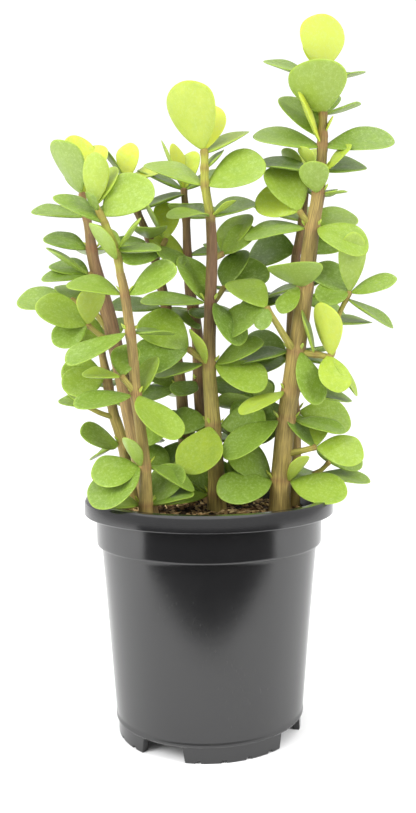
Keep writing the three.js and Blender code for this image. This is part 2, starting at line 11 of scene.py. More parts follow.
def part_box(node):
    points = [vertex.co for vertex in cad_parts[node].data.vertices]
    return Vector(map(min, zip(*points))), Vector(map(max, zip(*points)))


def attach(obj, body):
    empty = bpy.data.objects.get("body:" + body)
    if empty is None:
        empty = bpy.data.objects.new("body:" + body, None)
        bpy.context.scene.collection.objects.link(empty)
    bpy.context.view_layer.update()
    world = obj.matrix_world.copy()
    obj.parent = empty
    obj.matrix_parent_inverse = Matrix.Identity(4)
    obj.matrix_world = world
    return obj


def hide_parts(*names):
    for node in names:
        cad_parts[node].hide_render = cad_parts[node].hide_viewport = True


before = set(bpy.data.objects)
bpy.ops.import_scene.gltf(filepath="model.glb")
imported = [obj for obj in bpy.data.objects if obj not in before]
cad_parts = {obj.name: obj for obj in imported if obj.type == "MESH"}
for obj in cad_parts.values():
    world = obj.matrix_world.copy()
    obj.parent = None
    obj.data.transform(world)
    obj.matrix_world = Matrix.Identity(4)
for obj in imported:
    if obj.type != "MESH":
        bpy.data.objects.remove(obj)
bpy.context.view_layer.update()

# ---- sizes, in millimetres ------------------------------------------------------------------------

MM = 0.001

RIM_RADIUS = 60.0         # outside of the rolled lip
RIM_TOP = 113.4
LIP_BOTTOM = 106.0
WALL = 1.5
NECK_RADIUS = 54.5
NECK_BOTTOM = 95.0
SHOULDER_RADIUS = 52.0
SHOULDER_HEIGHT = 91.5
BASE_RADIUS = 45.7
FOOT_HEIGHT = 8.0
FOOT_OUTER = 44.5
FOOT_INNER = 41.2
FOOT_SPAN = 64.0          # degrees of the ring that each foot takes
FOOT_STEPS = 64
FOOT_SLOPE = 0.06         # how much shorter a foot is at its bottom
NOTCH_PITCH = 16.0        # degrees between the notches along a foot's bottom
NOTCH_HALF_WIDTH = 1.2    # degrees
NOTCH_HEIGHT = 1.1
FOOT_HEADINGS = [18.5, 108.5, 198.5, 288.5]
DRAIN_HEADINGS = [62, 152, 242, 332]
DRAIN_RADIUS = 4.0
DRAIN_CIRCLE = 31.0

MIX_TOP = 105.5
MIX_RADIUS = 52.5
MIX_CROWN = 1.5

TURN = 3.0                # the plant is turned by this many degrees about the pot's axis
LEAN = 0.0085             # it leans to the left by this much for each millimetre of height
LEAN_FROM = 38.0          # from this height
SETTLE = 0.985            # its heights are drawn together by this much
MIDDLE = 150.0            # about this height
LEAF_THICKNESS = 2.3      # grown leaf, where it is thickest
YOUNG_THINNING = 0.08     # thinner by this much for each step of youth
LEAF_CUP = 0.1            # how far the edges rise, as a part of the leaf's width
LEAF_ROOT = 1.0           # how far below its place on the twig a leaf starts
SOCKET = 1.5              # how far a twig starts inside the stem that it grows from
LEAF_AROUND = 24
LEAF_ROWS = 10

# ---- the dark cloth on the table, in metres and degrees ------------------------------------------

CLOTH_NEAR = 0.158        # from the pot's axis to its near edge
CLOTH_FAR = 3.0
CLOTH_START = -151.0
CLOTH_SPAN = 127.0
CLOTH_FLARE = 0.66        # how fast the near edge curves away to either side

pot_low, pot_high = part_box("nursery_pot")
AXIS = Vector(((pot_low.x + pot_high.x) / 2, (pot_low.y + pot_high.y) / 2, 0))

# ---- the plant ------------------------------------------------------------------------------------
# A path is a list of points (x, y, z, radius) about the pot's axis. +X is right and +Y is the back.
# A leaf is (heading, rise, length, width, twist, droop, youth): heading 0 is +X, 90 the back, 180 -X
# and 270 the front; rise is its angle above level; twist turns its upper face to the front; droop is
# how far the tip bends down; youth runs from 0, old and dark, to 9, newest.
# On a shoot each leaf has one number before these: how many steps along the path it grows at.
# A "pair" is (height on the stem, leaf, leaf ...), with two to six leaves gathered at that height.
# The first shoot of a stem is its growing tip.
# Bark is a list of (height, how purple, how green).

PLANT = [
  {
    "name": "right",
    "bark": [[98, 0.1, 0.15], [183, 0.25, 0.1], [245, 0.45, 0.1], [275, 0.55, 0.15], [300, 0.5, 0.25],
      [321, 0.2, 0.6]],
    "wood": [[34, -6, 98, 5.2], [35, -6, 121, 5.1], [38, -5, 151, 4.7], [43, -4, 183, 4.5],
      [48, -3, 218, 4.1], [51, -2, 242, 3.8], [54, -2, 258, 3.2], [56, -1, 275, 2.7]],
    "shoots": [
      {
        "path": [[56, -1, 275.5, 2.6], [56.5, -1, 284, 2.5], [57, 0, 300, 2], [56.5, 0, 316.5, 1.8],
          [56, 0, 321, 1.5]],
        "leaves": [[4, 291, 76, 25, 25, 0, -2, 9], [4, 95, 62, 22, 18, 0, -2, 8],
          [3, 180, 17, 29, 19, 25, 0, 4], [3, 22, 15, 23, 17, 15, 0, 3],
          [2, 250, 47, 26, 29, 0, -2, 5], [2, 92, 40, 26, 22, 0, 0, 4], [2, 25, 19, 21, 15, 5, 0, 3],
          [1, 184, 12, 33, 22, 42, 3, 3], [1, 356, 8, 34, 22, 44, 3, 3],
          [1.1, 214, 52, 26, 20, 50, -2, 8], [1.3, 160, 48, 29, 22, 35, 0, 4],
          [1.4, 340, 60, 9, 6, 30, 0, 9]],
      },
      {
        "path": [[51, -2, 245, 1.6], [46.5, -4, 249, 1.5], [44.5, -5, 252, 1.2]],
        "leaves": [[2, 142, 60, 27, 24, 30, 0, 4], [2, 160, 20, 23, 19, 65, 0, 6]],
      },
      {
        "path": [[42, -5, 184, 1.9], [38, -9, 189, 1.8], [33.7, -10, 196, 1.6], [28, -12, 205, 1.3]],
        "leaves": [[3, 146, 38, 25, 22, 25, 2, 5], [3, 165, -22, 25, 21, 50, 2, 2],
          [3, 250, -55, 13, 9, 0, 0, 2]],
      },
      {
        "path": [[44, -5, 183, 1.8], [53, -8, 182, 1.6], [59.5, -9, 182, 1.5], [62, -8, 198, 1.3],
          [69, -6, 213, 1.1]],
        "leaves": [[4, 276, 72, 29, 14, 0, 0, 6], [4, 345, 15, 23, 16, 40, 0, 4],
          [4, 150, 35, 24, 20, 30, 0, 2], [4, 195, -8, 17, 16, 45, 0, 2],
          [3, 40, 5, 22, 16, 15, 0, 3], [3.8, 350, -33, 26, 18, 12, 0, 3],
          [2, 240, 68, 27, 20, 20, 0, 8], [1.9, 0, -56, 24, 17, 17, 0, 5],
          [1.9, 284, -54, 22, 17, 0, 0, 6], [1, 190, 72, 22, 13, 25, 0, 6]],
      },
      {
        "path": [[36, -6, 133, 1.8], [47, -10, 136, 1.5], [52, -11, 137.5, 1.2]],
        "leaves": [[2, 345, -8, 23, 19, 45, 2, 4], [2, 150, 48, 20, 15, 10, 0, 2],
          [2, 95, 50, 18, 15, 0, 0, 5]],
      },
      {
        "path": [[35, -1, 151, 1.5], [31, 4, 154, 1.3], [27, 6, 158, 1.2]],
        "leaves": [[2, 255, 55, 15, 12, 0, 0, 4], [2, 168, 0, 24, 18, -30, 0, 1],
          [2, 100, 40, 20, 16, 0, 0, 2]],
      },
    ],
    "pairs": [
      [269.5, [172, 14, 28, 20, 26, 2, 2], [20, 17, 22, 20, 32, 2, 2], [335, 40, 17, 12, 45, 0, 7],
        [212, 45, 14, 9, 0, 0, 7]],
      [258.5, [252, 42, 16, 15, 0, -3, 5], [85, 20, 26, 20, 0, 3, 3], [75, 10, 18, 15, 0, 0, 3],
        [335, 0, 12, 8, 10, 0, 5]],
      [242, [320, -10, 25, 24, 32, 12, 4], [190, 3, 29, 21, 30, 8, 3]],
      [214, [248, 17, 25, 27, 0, -1, 4], [67, 25, 26, 20, 0, 3, 2], [135, -5, 25, 18, 20, 2, 2],
        [215, -50, 17, 11, 30, 0, 4]],
      [183, [300, -68, 28, 17, 0, -2, 2], [165, -8, 26, 20, 25, 2, 1], [60, 10, 24, 18, 0, 4, 2]],
      [164, [220, -22, 28, 17, 8, 0, 6], [12, -10, 27, 18, 20, 0, 3]],
      [150, [208, -27, 33, 20, 25, 3, 3], [345, -8, 25, 17, 22, 2, 3], [95, 0, 26, 20, 0, 4, 2],
        [160, 15, 25, 20, 55, 0, 1]],
      [121, [335, -10, 29, 23, 35, 1, 4], [208, -7, 29, 22, 35, 2, 3], [318, 50, 17, 12, 0, 0, 7],
        [50, 5, 26, 20, 10, 2, 2], [152, 22, 25, 20, 40, 0, 2],
        [172, 40, 26, 20, 50, 0, 2]],
    ],
  },
  {
    "name": "centre",
    "bark": [[98, 0.05, 0.2], [174, 0.1, 0.3], [180, 0.5, 0.1], [206, 0.9, 0], [244, 0.8, 0],
      [250, 0.2, 0.7], [281, 0, 0.9]],
    "wood": [[4, 2, 98, 4.7], [4, 2, 119, 4.3], [2.5, 1, 150, 3.9], [1, 0, 176.5, 3.4],
      [2, -1, 206.5, 3], [3, -2, 232, 2.7], [2.5, -2, 247, 2.4]],
    "shoots": [
      {
        "path": [[2.5, -2, 247.5, 2.3], [2.2, -2.2, 250, 2.3], [0, -3, 264.5, 2.1], [0, -3, 278, 1.8],
          [-0.5, -3, 281, 1.5]],
        "leaves": [[4, 233, 60, 32, 30, 0, -2, 8], [4, 82, 70, 25, 20, 0, -1, 9],
          [3.6, 22, 30, 25, 18, 20, 0, 5], [2.6, 35, 45, 14, 10, 0, 0, 4],
          [2, 350, 20, 30, 26, 52, 2, 4], [2, 172, 24, 31, 22, 32, 2, 4],
          [1, 222, 10, 21, 20, 20, 8, 4], [1, 35, 22, 26, 20, 20, 0, 3],
          [1, 340, 28, 14, 8, 10, 0, 6]],
      },
      {
        "path": [[3, 0, 228, 1.4], [7, 3, 231, 1.3], [9, 4, 232, 1.1]],
        "leaves": [[2, 45, 54, 26, 21, 10, 0, 5], [2, 100, 20, 24, 18, 0, 0, 3],
          [1.5, 10, 42, 21, 18, 45, 0, 3]],
      },
      {
        "path": [[3, 1, 207, 1.5], [6, 4, 211, 1.4], [9, 7, 216, 1.2]],
        "leaves": [[2, 55, 55, 24, 20, 0, 0, 2], [2, 20, 25, 25, 20, 50, 0, 1],
          [2, 85, 5, 25, 19, 0, 2, 2]],
      },
      {
        "path": [[1, -1, 178, 1.8], [-4, -4, 181, 1.7], [-9, -8, 185, 1.4]],
        "leaves": [[2, 160, 33, 29, 24, 40, 0, 4], [2, 190, -12, 28, 22, 50, 0, 2]],
      },
    ],
    "pairs": [
      [206.5, [186, 4, 31, 20, 24, 2, 3], [318, -54, 26, 20, 0, 0, 1], [140, 58, 28, 20, 10, 0, 4]],
      [177, [195, -15, 24, 17, 15, 0, 3], [338, -20, 28, 23, 30, 3, 5], [350, 24, 26, 18, 38, 0, 4],
        [242, 50, 21, 12, 25, 0, 7]],
      [147, [244, -51, 28, 26, 5, 0, 5], [60, -15, 26, 20, 0, 3, 2],
        [350, 12, 23, 18, 60, 0, 2], [150, 5, 24, 19, 50, 0, 1]],
      [113, [195, -1, 27, 18, 22, 2, 4], [150, 15, 18, 16, 35, 0, 3], [35, 24, 25, 20, 40, 0, 1],
        [100, 40, 24, 19, 0, 0, 1],
        [170, 32, 29, 16, -10, 4, 1], [160, 55, 25, 20, 50, 0, 2]],
    ],
  },
  {
    "name": "front_left",
    "bark": [[98, 0.1, 0.15], [163, 0.3, 0.1], [206, 0.6, 0.1], [217, 0.5, 0.1], [222, 0.2, 0.8],
      [250, 0, 0.9]],
    "wood": [[-28.5, -28, 98, 3.1], [-28.5, -28, 130, 2.8], [-32, -28, 163.5, 2.5],
      [-33, -28, 181, 2.4], [-36, -28, 208, 2.2], [-38, -28, 218, 2]],
    "shoots": [
      {
        "path": [[-38.1, -28, 218.5, 1.9], [-40, -28, 230, 1.7], [-45, -28, 242, 1.5],
          [-49, -27, 250, 1.1]],
        "leaves": [[3, 266, 82, 23, 12, 0, -3, 7], [3, 96, 80, 23, 12, 0, -3, 8],
          [3, 60, 60, 22, 16, 0, 0, 6], [2.6, 215, 55, 10, 9, 0, 0, 2],
          [2.4, 8, 40, 27, 23, 62, 2, 4], [2, 180, 28, 25, 17, 25, 0, 3],
          [0.6, 228, 38, 20, 19, 15, -3, 4], [1, 335, 46, 18, 13, 35, 0, 5],
          [1, 350, -2, 20, 14, 25, 0, 2], [1, 130, 40, 20, 15, 0, 0, 4]],
      },
      {
        "path": [[-32, -28, 164, 1.5], [-35, -30, 168, 1.4], [-38.5, -31, 172.5, 1.2]],
        "leaves": [[2, 188, 4, 17, 14, 15, 0, 6], [2, 80, 60, 17, 14, 0, 0, 3]],
      },
    ],
    "pairs": [
      [208, [188, 20, 24, 20, 28, 5, 4], [350, 27, 25, 20, 45, 0, 4]],
      [191, [212, -28, 31, 19, 15, 0, 2], [40, 5, 21, 17, 10, 2, 2]],
      [163, [212, -6, 27, 17, 25, 2, 3], [50, 62, 20, 15, 0, 0, 4], [320, -41, 29, 26, 0, 0, 4]],
      [131, [205, -6, 22, 19, 40, 2, 4], [214, -36, 28, 24, 20, 0, 3], [236, 55, 17, 11, 0, 0, 4],
        [20, -30, 24, 17, 20, 0, 2]],
      [113, [172, 8, 19, 16, 20, 2, 3], [10, 20, 20, 16, 10, 2, 2], [62, 22, 22, 18, 0, 2, 1],
        [35, 48, 23, 18, 30, 0, 2]],
    ],
  },
  {
    "name": "left",
    "bark": [[98, 0.4, 0.1], [201, 0.8, 0], [240, 0.7, 0], [261, 0.5, 0.1]],
    "wood": [[-26, -12, 98, 3.6], [-35.5, -9, 146, 3.6], [-41.5, -5, 176.5, 3.6],
      [-47, 0, 201, 3.7], [-53.5, 2, 226.5, 2.9], [-55.5, 3, 240, 2.4]],
    "shoots": [
      {
        "path": [[-55.6, 3, 240.5, 2.3], [-57, 3, 250, 2], [-59, 3, 261, 1.5]],
        "leaves": [[2, 226, 55, 27, 28, 10, -1, 3], [2, 60, 66, 28, 20, 0, 0, 8],
          [2, 120, 74, 31, 18, 0, 0, 9], [2, 100, 45, 24, 18, 0, 2, 3],
          [1, 180, 6, 26, 17, 24, 0, 3], [1, 20, 20, 24, 18, 20, 0, 3], [1, 90, 15, 25, 19, 0, 2, 3]],
      },
      {
        "path": [[-52, 1, 219, 1.6], [-56.5, -1, 221, 1.4]],
        "leaves": [[1, 205, 30, 23, 17, 20, 0, 4], [1, 160, 16, 21, 18, 30, 0, 3],
          [1, 187, -6, 22, 18, 30, 0, 3]],
      },
      {
        "path": [[-45, -2, 190, 1.6], [-53, -1, 202, 1.4], [-60, 0, 206.5, 1.3], [-65, 1, 209, 1.1]],
        "leaves": [[3, 181, -1, 26, 21, 36, 0, 4], [3, 95, 15, 22, 16, 0, 2, 3],
          [2, 130, 30, 22, 16, 10, 0, 3]],
      },
      {
        "path": [[-44, -4, 187, 1.5], [-51, -9, 192, 1.3], [-56, -11, 196.5, 1.1]],
        "leaves": [[2, 195, 22, 25, 22, 50, 0, 4], [2, 308, 62, 20, 15, 10, 0, 7],
          [2, 205, -30, 18, 17, 40, 0, 3]],
      },
    ],
    "pairs": [
      [232, [175, 16, 22, 18, 30, 0, 2], [15, 15, 24, 18, 20, 2, 2], [100, 10, 25, 19, 0, 4, 3]],
    ],
  },
  {
    "name": "low_left",
    "bark": [[98, 0.15, 0.2], [150, 0.2, 0.2], [190, 0.5, 0.1]],
    "wood": [[-36, 13, 98, 3.1], [-42, 13, 135, 3], [-46, 12, 150, 2.8]],
    "shoots": [
      {
        "path": [[-46.2, 12, 150.5, 2.7], [-48, 12, 160, 2.5], [-50, 11, 173, 2.3], [-52, 10, 185, 1.6]],
        "leaves": [[3, 160, 45, 24, 19, 30, 0, 4], [3, 60, 50, 22, 17, 0, 0, 5],
          [2, 208, -18, 22, 20, 45, 0, 4], [2, 30, 10, 24, 18, 20, 2, 2],
          [1.5, 110, 10, 26, 19, 0, 3, 2], [1.8, 185, 15, 22, 20, 60, 0, 3],
          [1, 350, -10, 22, 17, 20, 0, 1]],
      },
      {
        "path": [[-45, 12, 150, 1.5], [-53, 9, 153, 1.3], [-60, 7, 157, 1.1]],
        "leaves": [[2, 172, 12, 14, 12, 20, 0, 3], [2, 120, 25, 20, 15, 0, 0, 6]],
      },
    ],
    "pairs": [
      [137, [225, 20, 22, 21, 40, 2, 2], [150, -20, 19, 16, 20, 2, 3], [60, 5, 26, 20, 0, 4, 2],
        [345, -24, 24, 19, 25, 2, 2], [350, 25, 23, 19, 50, 0, 2]],
    ],
  },
  {
    "name": "back_left",
    "bark": [[98, 0.4, 0.1], [238, 0.8, 0], [271, 0.5, 0.2]],
    "wood": [[-10, 24, 98, 3.6], [-12, 23, 135, 3.3], [-14, 21, 170, 3], [-20, 19, 205, 2.7],
      [-27, 18, 238, 2.3]],
    "shoots": [
      {
        "path": [[-27.1, 18, 238.5, 2.2], [-34.5, 18, 256, 1.8], [-39, 17, 271, 1.2]],
        "leaves": [[2, 80, 75, 20, 12, 0, 0, 9], [2, 10, 18, 19, 13, 30, 0, 7],
          [2, 190, 50, 20, 14, 0, 0, 7], [1, 15, 22, 26, 18, 15, 0, 3],
          [1, 195, 20, 24, 18, 20, 0, 4], [1, 100, 25, 25, 19, 0, 2, 4],
          [0.2, 275, 10, 22, 18, 0, 2, 2]],
      },
      {
        "path": [[-25, 18, 230, 1.5], [-19.5, 15, 241, 1.2]],
        "leaves": [[1, 195, 60, 21, 12, 10, 0, 5], [0.6, 225, -22, 24, 20, 25, 0, 2],
          [0.7, 300, -35, 20, 16, 0, 0, 2],
          [1, 95, 62, 23, 14, 0, 0, 7]],
      },
    ],
    "pairs": [
      [205, [185, 5, 27, 20, 30, 2, 2], [350, -30, 18, 15, 20, 2, 2], [95, 5, 27, 20, 0, 5, 3]],
      [165, [150, 0, 24, 18, 20, 3, 2], [100, -5, 26, 20, 0, 4, 2], [215, -10, 25, 19, 20, 2, 1],
        [180, 40, 24, 20, 40, 0, 2]],
    ],
  },
  {
    "name": "back_centre",
    "bark": [[98, 0.5, 0], [228, 0.85, 0], [267, 0.6, 0.1]],
    "wood": [[2, 27, 98, 3.8], [-2, 25, 135, 3.5], [-4, 22, 164, 3.3], [-5, 21, 194, 3],
      [-8, 20, 213, 2.8], [-9, 20, 228, 2.5]],
    "shoots": [
      {
        "path": [[-9, 20, 228.5, 2.4], [-9.3, 20, 234, 2.3], [-9.8, 20, 253, 2], [-10.7, 20, 267, 1.5]],
        "leaves": [[3, 168, 25, 26, 18, 15, 0, 2], [3, 10, 25, 24, 18, 20, 0, 3],
          [3, 140, 74, 25, 11, 0, 0, 9], [3, 60, 70, 22, 14, 0, 0, 8],
          [3, 175, 66, 27, 11, 0, 0, 7], [2, 90, 25, 26, 20, 0, 2, 4], [2, 30, 12, 22, 18, 25, 0, 3],
          [2, 275, 12, 22, 18, 0, 2, 3], [1, 195, 22, 20, 17, 45, 0, 7],
          [1, 8, 10, 25, 19, 20, 2, 2]],
      },
    ],
    "pairs": [
      [205, [100, 0, 27, 21, 0, 5, 3], [290, -25, 13, 11, 0, 0, 1], [30, 0, 26, 20, 10, 3, 2]],
      [168, [235, -22, 17, 15, 20, 0, 1], [345, -8, 27, 20, 35, 2, 2], [95, -5, 27, 20, 0, 5, 3]],
      [138, [180, 32, 24, 19, 35, 0, 2], [200, -35, 24, 19, 30, 0, 2], [20, 0, 26, 20, 10, 3, 2],
        [90, -10, 26, 20, 0, 4, 2]],
    ],
  },
  {
    "name": "back_right",
    "bark": [[98, 0.3, 0.1], [166, 0.5, 0], [232, 0.8, 0], [284, 0.4, 0.2]],
    "wood": [[43, 16, 98, 3], [44.3, 15, 139, 2.9], [43, 15, 166, 2.8], [42.5, 15, 194, 2.7],
      [45, 15, 232, 2.4]],
    "shoots": [
      {
        "path": [[45.1, 15, 232.5, 2.3], [45.8, 15, 236, 2.2], [48.5, 15, 251, 2], [51, 14, 270, 1.2]],
        "leaves": [[3, 70, 60, 22, 16, 0, 0, 7], [3, 200, 50, 20, 15, 0, 0, 5],
          [2, 15, 5, 29, 20, 45, 0, 4], [2, 165, 20, 27, 20, 20, 0, 4], [2, 90, 30, 26, 20, 0, 2, 4],
          [1, 150, 5, 26, 24, 60, 0, 1], [1, 20, 15, 25, 19, 45, 0, 2]],
      },
      {
        "path": [[44, 15, 117, 1.5], [55, 11, 122, 1.3], [61, 9, 128, 1.1]],
        "leaves": [[2, 20, 5, 18, 18, 45, 0, 3], [1, 352, -8, 27, 18, 15, 0, 3],
          [2, 80, 20, 22, 17, 0, 0, 3]],
      },
    ],
    "pairs": [
      [210, [170, -8, 26, 18, 30, 0, 2], [60, 10, 27, 20, 0, 4, 3], [10, -15, 27, 21, 30, 2, 2]],
      [180, [195, -15, 25, 19, 30, 2, 1], [90, 5, 27, 21, 0, 5, 3], [20, -5, 27, 20, 20, 3, 3],
        [160, 30, 24, 20, 40, 0, 2]],
      [153, [8, -14, 28, 22, 55, 0, 5], [175, -5, 27, 20, 40, 0, 1], [85, -5, 27, 20, 0, 4, 3],
        [190, -40, 24, 19, 30, 0, 2]],
    ],
  },
]

rng = random.Random(5)


# ---- small tools ----------------------------------------------------------------------------------

def place(point):
    """A point given in millimetres about the pot's axis, in the frame's metres."""
    return AXIS + Vector(point) * MM


def stand(point):
    """Turns and leans a point of a path, with all the plant."""
    x, y, z, radius = point
    h = math.radians(TURN)
    return [x * math.cos(h) - y * math.sin(h) - LEAN * (z - LEAN_FROM),
            x * math.sin(h) + y * math.cos(h), MIDDLE + (z - MIDDLE) * SETTLE, radius]


def plant_mesh():
    """An empty mesh with the values that the leaf and bark finishes read."""
    bm = bmesh.new()
    for name in ("youth", "rim", "under", "ring", "purple", "green", "chance"):
        bm.verts.layers.float.new(name)
    bm.verts.layers.float_vector.new("grain")
    return bm


def note_values(bm, vert, grain, **values):
    vert[bm.verts.layers.float_vector["grain"]] = grain
    for name, value in values.items():
        vert[bm.verts.layers.float[name]] = value


def new_object(name, bm, materials=()):
    """Makes the mesh an object, and frees it."""
    mesh = bpy.data.meshes.new(name)
    bm.to_mesh(mesh)
    bm.free()
    for material in materials:
        mesh.materials.append(material)
    made = bpy.data.objects.new(name, mesh)
    bpy.context.scene.collection.objects.link(made)
    return made


def finish_piece(bm, name, node, materials, levels=0):
    """Makes the mesh an object that rides on the body and stands for its CAD node."""
    piece = new_object(name, bm, materials)
    piece.data.shade_smooth()
    if levels:
        rounding = piece.modifiers.new("rounding", "SUBSURF")
        rounding.levels = levels
        rounding.render_levels = levels
    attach(piece, "root")
    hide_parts(node)
    return piece


def at_height(table, height):
    """The values at a height, from a list of [height, value, value ...]."""
    if height <= table[0][0]:
        return table[0][1:]
    for low, high in zip(table, table[1:]):
        if height <= high[0]:
            t = (height - low[0]) / (high[0] - low[0])
            return [a + (b - a) * t for a, b in zip(low[1:], high[1:])]
    return table[-1][1:]


def stem_at_height(wood, height):
    x, y, radius = at_height([(z, x, y, r) for x, y, z, r in wood], height)
    return Vector((x, y, height)), radius


def twig_at_step(path, step):
    """The point and radius where a leaf of a shoot starts, a little below its step."""
    i = min(int(step), len(path) - 2)
    start, end = Vector(path[i][:3]), Vector(path[i + 1][:3])
    t = step - i - LEAF_ROOT / (end - start).length
    return start.lerp(end, t), path[i][3] + (path[i + 1][3] - path[i][3]) * t


def make_tube(bm, sides, steps, shape):
    """A closed tube rolled from a grid. shape(vert, reach, angle) places a point; reach is 0 to 1."""
    made = bmesh.ops.create_grid(bm, x_segments=sides, y_segments=steps, size=1)
    for vert in made["verts"]:
        reach, angle = (vert.co.y + 1) / 2, math.pi * (vert.co.x + 1)
        vert.co = shape(vert, reach, angle)
    bmesh.ops.remove_doubles(bm, verts=made["verts"], dist=1e-7)
    rolled = [v for v in made["verts"] if v.is_valid]
    ends = {e for v in rolled for e in v.link_edges if e.is_boundary}
    caps = bmesh.ops.holes_fill(bm, edges=list(ends), sides=sides)
    skin = {f for v in rolled for f in v.link_faces}
    bmesh.ops.recalc_face_normals(bm, faces=list(skin | set(caps["faces"])))
    return rolled, skin


# ---- leaves ---------------------------------------------------------------------------------------

def leaf_directions(heading, rise, twist):
    """Along the leaf, across it and out of its upper face."""
    h, e = math.radians(heading), math.radians(rise)
    along = Vector((math.cos(e) * math.cos(h), math.cos(e) * math.sin(h), math.sin(e)))
    level = Vector((math.sin(h), -math.cos(h), 0))
    turn = math.radians(twist) * (-1 if level.y > 1e-6 else 1)
    across = Matrix.Rotation(turn, 3, along) @ level
    return along, across, across.cross(along)


def add_leaf(bm, start, shape):
    """A fleshy leaf, narrow at its foot and broadest past its middle, cupped and a little uneven."""
    heading, rise, length, width, twist, droop, youth = shape
    along, across, face = leaf_directions(heading, rise, twist)
    half = (LEAF_THICKNESS - YOUNG_THINNING * youth) / 2 * min(1, 0.4 + length / 30)
    chance = rng.random()
    lopsided, curl = 0.07 * math.sin(chance * 40), 0.05 * math.sin(chance * 70) * width
    made = bmesh.ops.create_uvsphere(bm, u_segments=LEAF_AROUND, v_segments=LEAF_ROWS, radius=1)
    for vert in made["verts"]:
        x, y, z = vert.co
        rim = min(1, math.hypot(x, y))
        s = x - 0.3 * (1 - rim * rim)
        t = (s + 1) / 2
        uneven = noise.noise(Vector((x, y, 0)) * 1.3 + Vector((chance * 90, 0, 0)))
        foot = 1 - 0.55 * (1 - t) ** 6
        side = lopsided if y > 0 else -lopsided
        w = -y * (1 + 0.3 * s) / 1.04 * foot * (1 + 0.08 * uneven * rim + side)
        point = start + along * (t * length + 0.7 * (max(0, x - 0.85) / 0.15) ** 2)
        point += across * (w * width / 2)
        cup = (0.85 * w * w + 0.15 * abs(w)) * LEAF_CUP * width
        point += face * (z * half + cup - t * t * droop + 0.7 * uneven * t + curl * w * t)
        vert.co = place(point)
        note_values(bm, vert, (t * length, w * width / 2, chance * 500), youth=youth / 9, rim=rim,
                    under=1 if z < 0 else 0, chance=chance)


def add_bud(bm, start, heading):
    """A new leaf just showing above a leaf's foot."""
    add_leaf(bm, start, (heading, 55, rng.uniform(2.5, 4), rng.uniform(1.6, 2.4), 0, 0, 8))


# ---- stems ----------------------------------------------------------------------------------------

def smooth_path(path, spacing):
    """Points about a spacing apart on one smooth curve through the points of a path."""
    known = [Vector(p) for p in path]
    ends = [known[0] * 2 - known[1], *known, known[-1] * 2 - known[-2]]
    points = []
    for before, start, end, after in zip(ends, ends[1:], ends[2:], ends[3:]):
        steps = max(1, round((end - start).length / spacing))
        for i in range(steps):
            t = i / steps
            pull = (end - before) * t + (before * 2 - start * 5 + end * 4 - after) * t ** 2
            pull += (start * 3 - before - end * 3 + after) * t ** 3
            points.append(start + pull / 2)
    return points + [known[-1]]


def add_stem(bm, path, tones, rings, sides, spacing):
    """A woody stem along a path, with a swollen ring at each place where leaves grow, and painted shade
    that makes its bark darker and more purple-brown on its right side.
    """
    points = smooth_path(path, spacing)
    last = len(points) - 1
    chance = rng.random()

    def bark_point(vert, reach, angle):
        i = round(reach * last)
        side = Vector((math.cos(angle), math.sin(angle), 0))
        centre = points[i].to_3d()
        direction = (points[min(i + 1, last)] - points[max(i - 1, 0)]).to_3d()
        turn = Vector((0, 0, 1)).rotation_difference(direction).to_matrix()
        ring = max([math.exp(-((centre - r).length / 1.5) ** 2) for r in rings], default=0)
        purple, green = tones(centre.z)
        knot = noise.noise(Vector((side.x, side.y, i * spacing / 14 + chance * 80)))
        radius = points[i].w * (1 + 0.05 * knot) + 0.45 * ring
        # painted shade: the purple share is raised by 0.22 on the right (+X) side of every stem and
        # lowered on its left, so the bark is darker on the side away from the lights; the rest of the
        # purple share is the bark's own tone from its table
        note_values(bm, vert, (side.x, side.y, i * spacing / 40 + chance * 50), ring=ring,
                    purple=purple + 0.22 * side.x, green=green, chance=chance)
        return place(centre + turn @ side * radius)

    for face in make_tube(bm, sides, last, bark_point)[1]:
        face.material_index = 1


def make_stem(plant):
    """The main stem of one cutting, swollen where its leaves grow."""
    wood = plant["wood"]
    rings = [stem_at_height(wood, pair[0])[0] for pair in plant["pairs"]]
    bm = plant_mesh()
    foot = [[*wood[0][:3], wood[0][3] * 1.15]]
    top = [[*wood[-1][:2], wood[-1][2] + 1, wood[-1][3]]]
    add_stem(bm, foot + wood[1:] + top, lambda height: at_height(plant["bark"], height), rings, 16, 2.5)
    finish_piece(bm, plant["name"] + "_woody_stem", plant["name"] + "_stem",
                 [leaf_finish, bark_finish], levels=1)


def make_shoot(plant, number, shoot):
    """A growing tip, or a side shoot: its twig with all its leaves."""
    path = shoot["path"]
    kind = "tip" if number == 0 else f"shoot_{number}"
    bm = plant_mesh()
    leaves = [(*twig_at_step(path, step), shape) for step, *shape in shoot["leaves"]]

    def tones(height):
        purple, green = at_height(plant["bark"], height)
        return (purple, green) if number == 0 else (purple * 0.5, green * 0.5 + 0.45)

    start = Vector(path[0]) - (Vector(path[1]) - Vector(path[0])).normalized() * SOCKET
    add_stem(bm, [start, *path], tones, [point for point, radius, shape in leaves], 12, 1.5)
    for point, radius, shape in leaves:
        h = math.radians(shape[0])
        add_leaf(bm, point + Vector((math.cos(h), math.sin(h), 0)) * 0.3 * radius, shape)
    finish_piece(bm, f"{plant['name']}_{kind}_growth", f"{plant['name']}_{kind}",
                 [leaf_finish, bark_finish], levels=1)


def make_pair(plant, number, pair):
    """The leaves gathered at one height of a stem, with the buds above their feet."""
    height, *shapes = pair
    centre, radius = stem_at_height(plant["wood"], height)
    bm = plant_mesh()
    for shape in shapes:
        h = math.radians(shape[0])
        out = Vector((math.cos(h), math.sin(h), 0))
        add_leaf(bm, centre + out * (radius - 0.4), shape)
        add_bud(bm, centre + out * (radius - 0.3) + Vector((0, 0, 1.2)), shape[0])
    finish_piece(bm, f"{plant['name']}_leaf_pair_{number}", f"{plant['name']}_leaves_{number}",
                 [leaf_finish], levels=1)


# ---- pot ------------------------------------------------------------------------------------------

